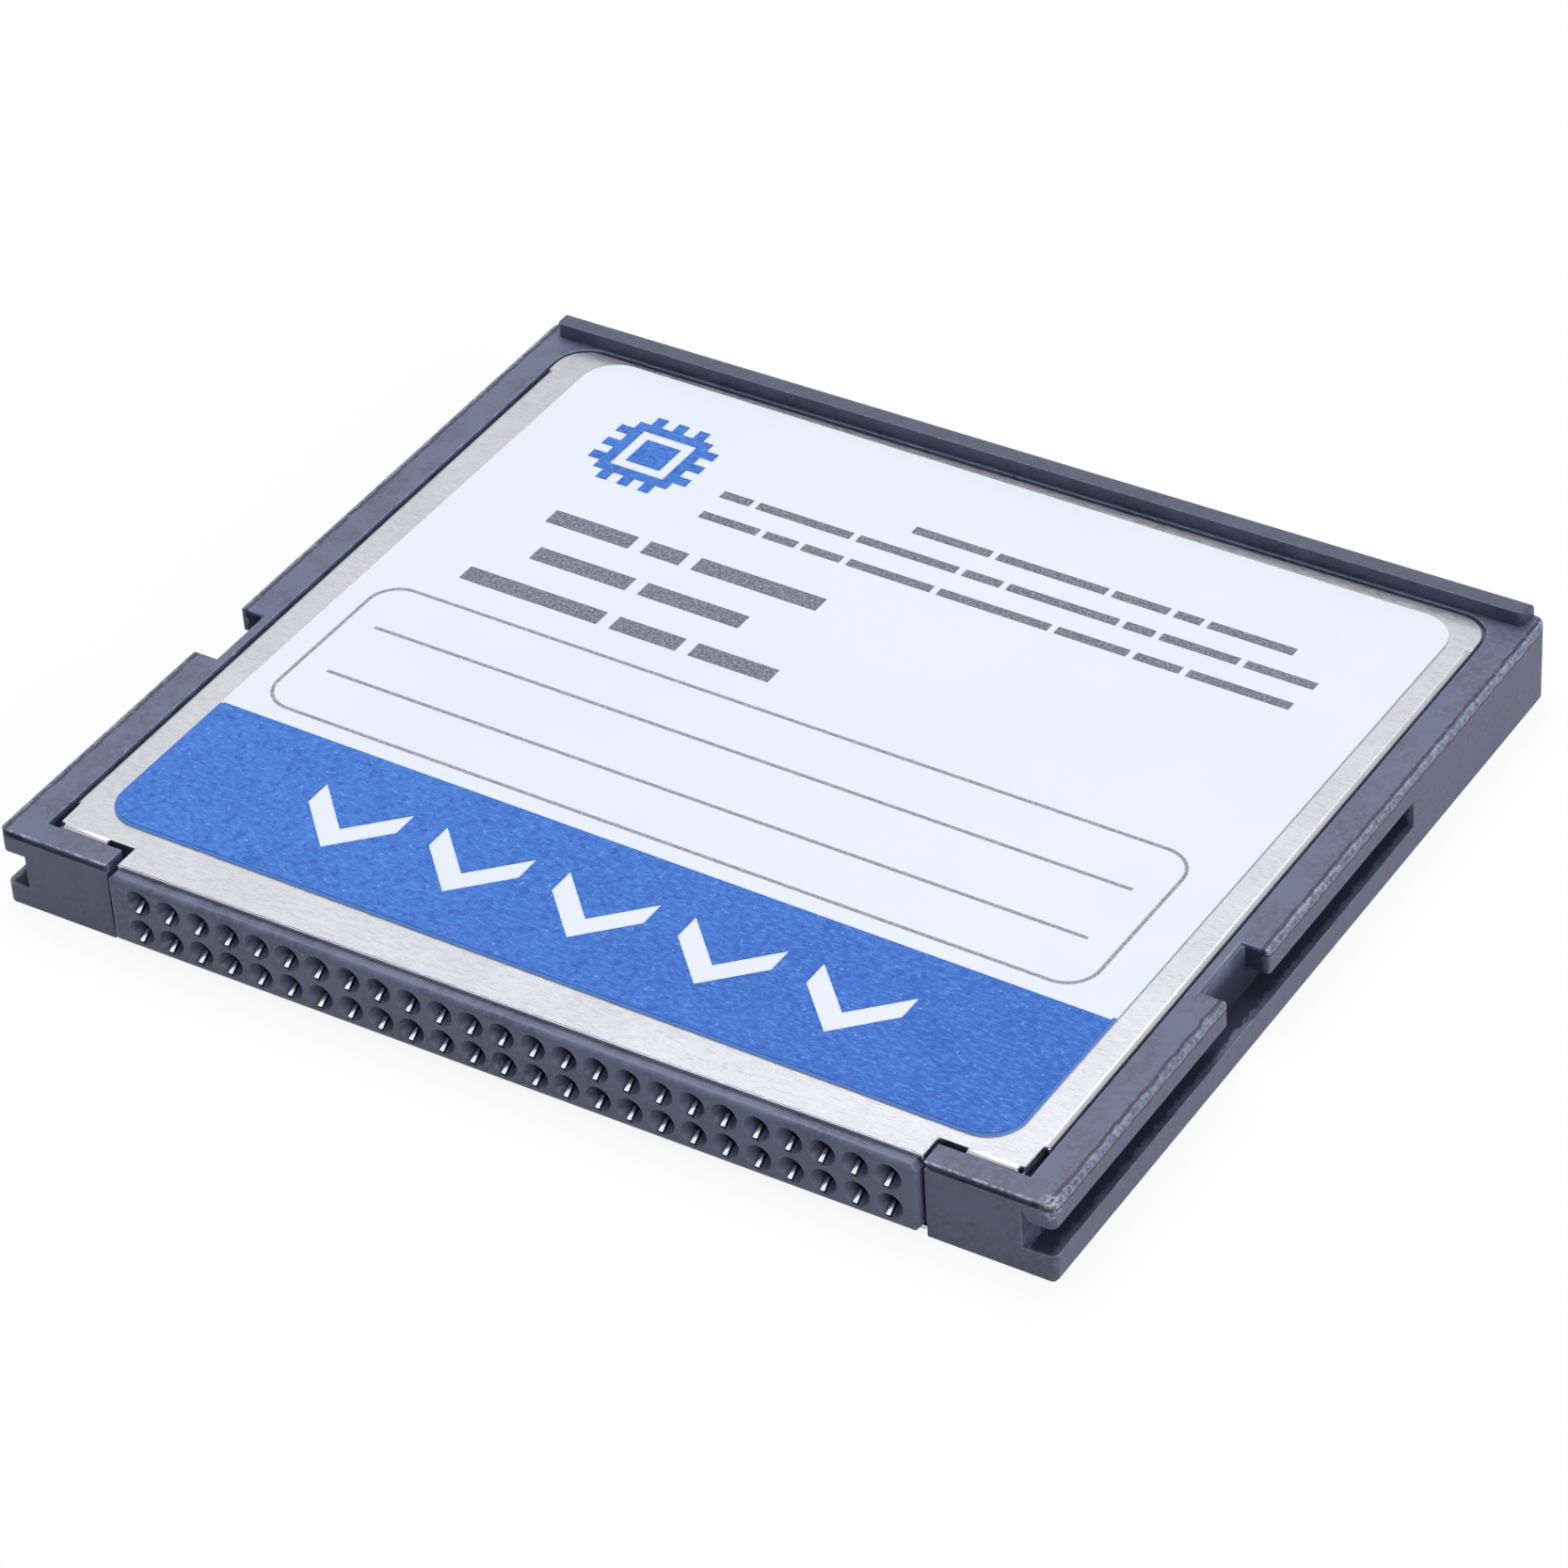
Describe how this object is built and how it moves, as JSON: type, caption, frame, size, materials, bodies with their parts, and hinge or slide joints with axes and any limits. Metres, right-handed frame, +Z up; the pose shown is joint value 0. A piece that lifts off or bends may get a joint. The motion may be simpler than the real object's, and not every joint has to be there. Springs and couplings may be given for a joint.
{
  "type": "compact flash card",
  "caption": "Flat plug-in storage card with a socket edge, side guide grooves, sheet metal covers, a printed label and a finger ridge at the back.",
  "frame": {"origin": "middle of the bottom face, under the middle of the card's outline", "axes": "+X across the card to the right, seen from the connector edge with the label up; -Y out of the connector edge; +Z up from the bottom cover"},
  "size_m": [0.0428, 0.0364, 0.0039],
  "materials": {
    "frame_plastic": "slate grey moulded plastic, fine matt grain",
    "cover_steel": "stamped stainless sheet, satin",
    "label_film": "white printed label, satin",
    "blue_ink": "blue print with a fine speckle",
    "grey_ink": "grey print",
    "housing_plastic": "slate grey moulded plastic, fine matt grain",
    "contact_metal": "plated spring bronze, bright",
    "board_laminate": "glass laminate under green solder mask",
    "chip_epoxy": "black moulded epoxy, matt",
    "lead_metal": "tinned metal, satin",
    "capacitor_ceramic": "tan ceramic, matt",
    "resistor_ceramic": "black glazed ceramic",
    "crystal_metal": "plated metal lid, satin",
    "insulating_film": "amber insulating film"
  },
  "bodies": {
    "root": {"frame": "frame_plastic", "top_cover": "cover_steel", "bottom_cover": "cover_steel", "label": "label_film", "blue_print": "blue_ink", "grey_print": "grey_ink", "connector_housing": "housing_plastic", "upper_contacts": "contact_metal", "lower_contacts": "contact_metal", "circuit_board": "board_laminate", "controller_chip": "chip_epoxy", "controller_leads": "lead_metal", "memory_chip": "chip_epoxy", "memory_leads": "lead_metal", "lower_memory_chip": "chip_epoxy", "lower_memory_leads": "lead_metal", "capacitors": "capacitor_ceramic", "resistors": "resistor_ceramic", "chip_terminals": "lead_metal", "clock_crystal": "crystal_metal", "voltage_regulator": "chip_epoxy", "regulator_leads": "lead_metal", "upper_film": "insulating_film", "lower_film": "insulating_film"}
  },
  "joints": []
}
